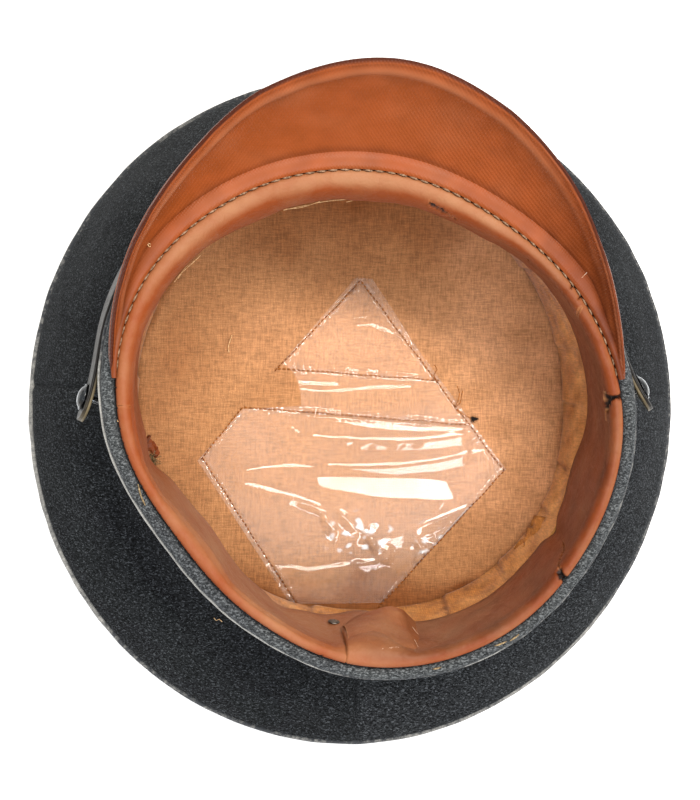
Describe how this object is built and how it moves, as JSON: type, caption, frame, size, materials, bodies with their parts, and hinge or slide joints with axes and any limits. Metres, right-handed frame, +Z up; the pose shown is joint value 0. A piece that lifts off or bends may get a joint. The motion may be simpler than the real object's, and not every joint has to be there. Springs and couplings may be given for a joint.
{
  "type": "visor cap lying upside down",
  "caption": "Peaked service cap with a wide round crown, a cloth band, a leather sweatband, a curved visor and a chin strap held by side buttons, lying upside down on its crown",
  "frame": {"origin": "centre of the crown on the surface that the cap lies on: the bottom centre of its bounding box", "axes": "+Z up, out of the head opening, as the cap lies upside down on its crown; +Y towards the visor; +X to the right, seen by someone who looks down into the cap over its back with the visor pointing away"},
  "size_m": [0.2688, 0.2778, 0.1362],
  "materials": {
    "wool": "dark charcoal melton wool, felted twill with a fuzzy matt face",
    "piping": "pale grey cord covered with cloth, worn and dusty",
    "leather": "tan vegetable-tanned leather, worn, creased and cracked",
    "cotton": "orange-tan cotton satin, plain weave, stained",
    "film": "clear plastic film, wavy and glossy, slightly yellowed",
    "visor_board": "burnt-orange lining side of the visor, embossed with a fine cross-hatch; its upper side is black lacquer",
    "strap_leather": "dark brown leather, lacquered face, paler cut edges",
    "silver": "bright silver-coloured metal, lightly tarnished"
  },
  "bodies": {
    "root": {"crown_top": "wool", "crown_piping": "piping", "crown_side_front": "wool", "crown_side_back_left": "wool", "crown_side_back_right": "wool", "band": "wool", "band_lower_piping": "piping", "band_upper_piping": "piping", "sweatband": "leather", "sweatband_back_tab": "leather", "sweatband_rivet": "silver", "lining_top": "cotton", "lining_side": "cotton", "sweat_shield": "film", "visor": "visor_board", "chin_strap": "strap_leather", "side_button_left": "silver", "side_button_right": "silver"}
  },
  "joints": []
}
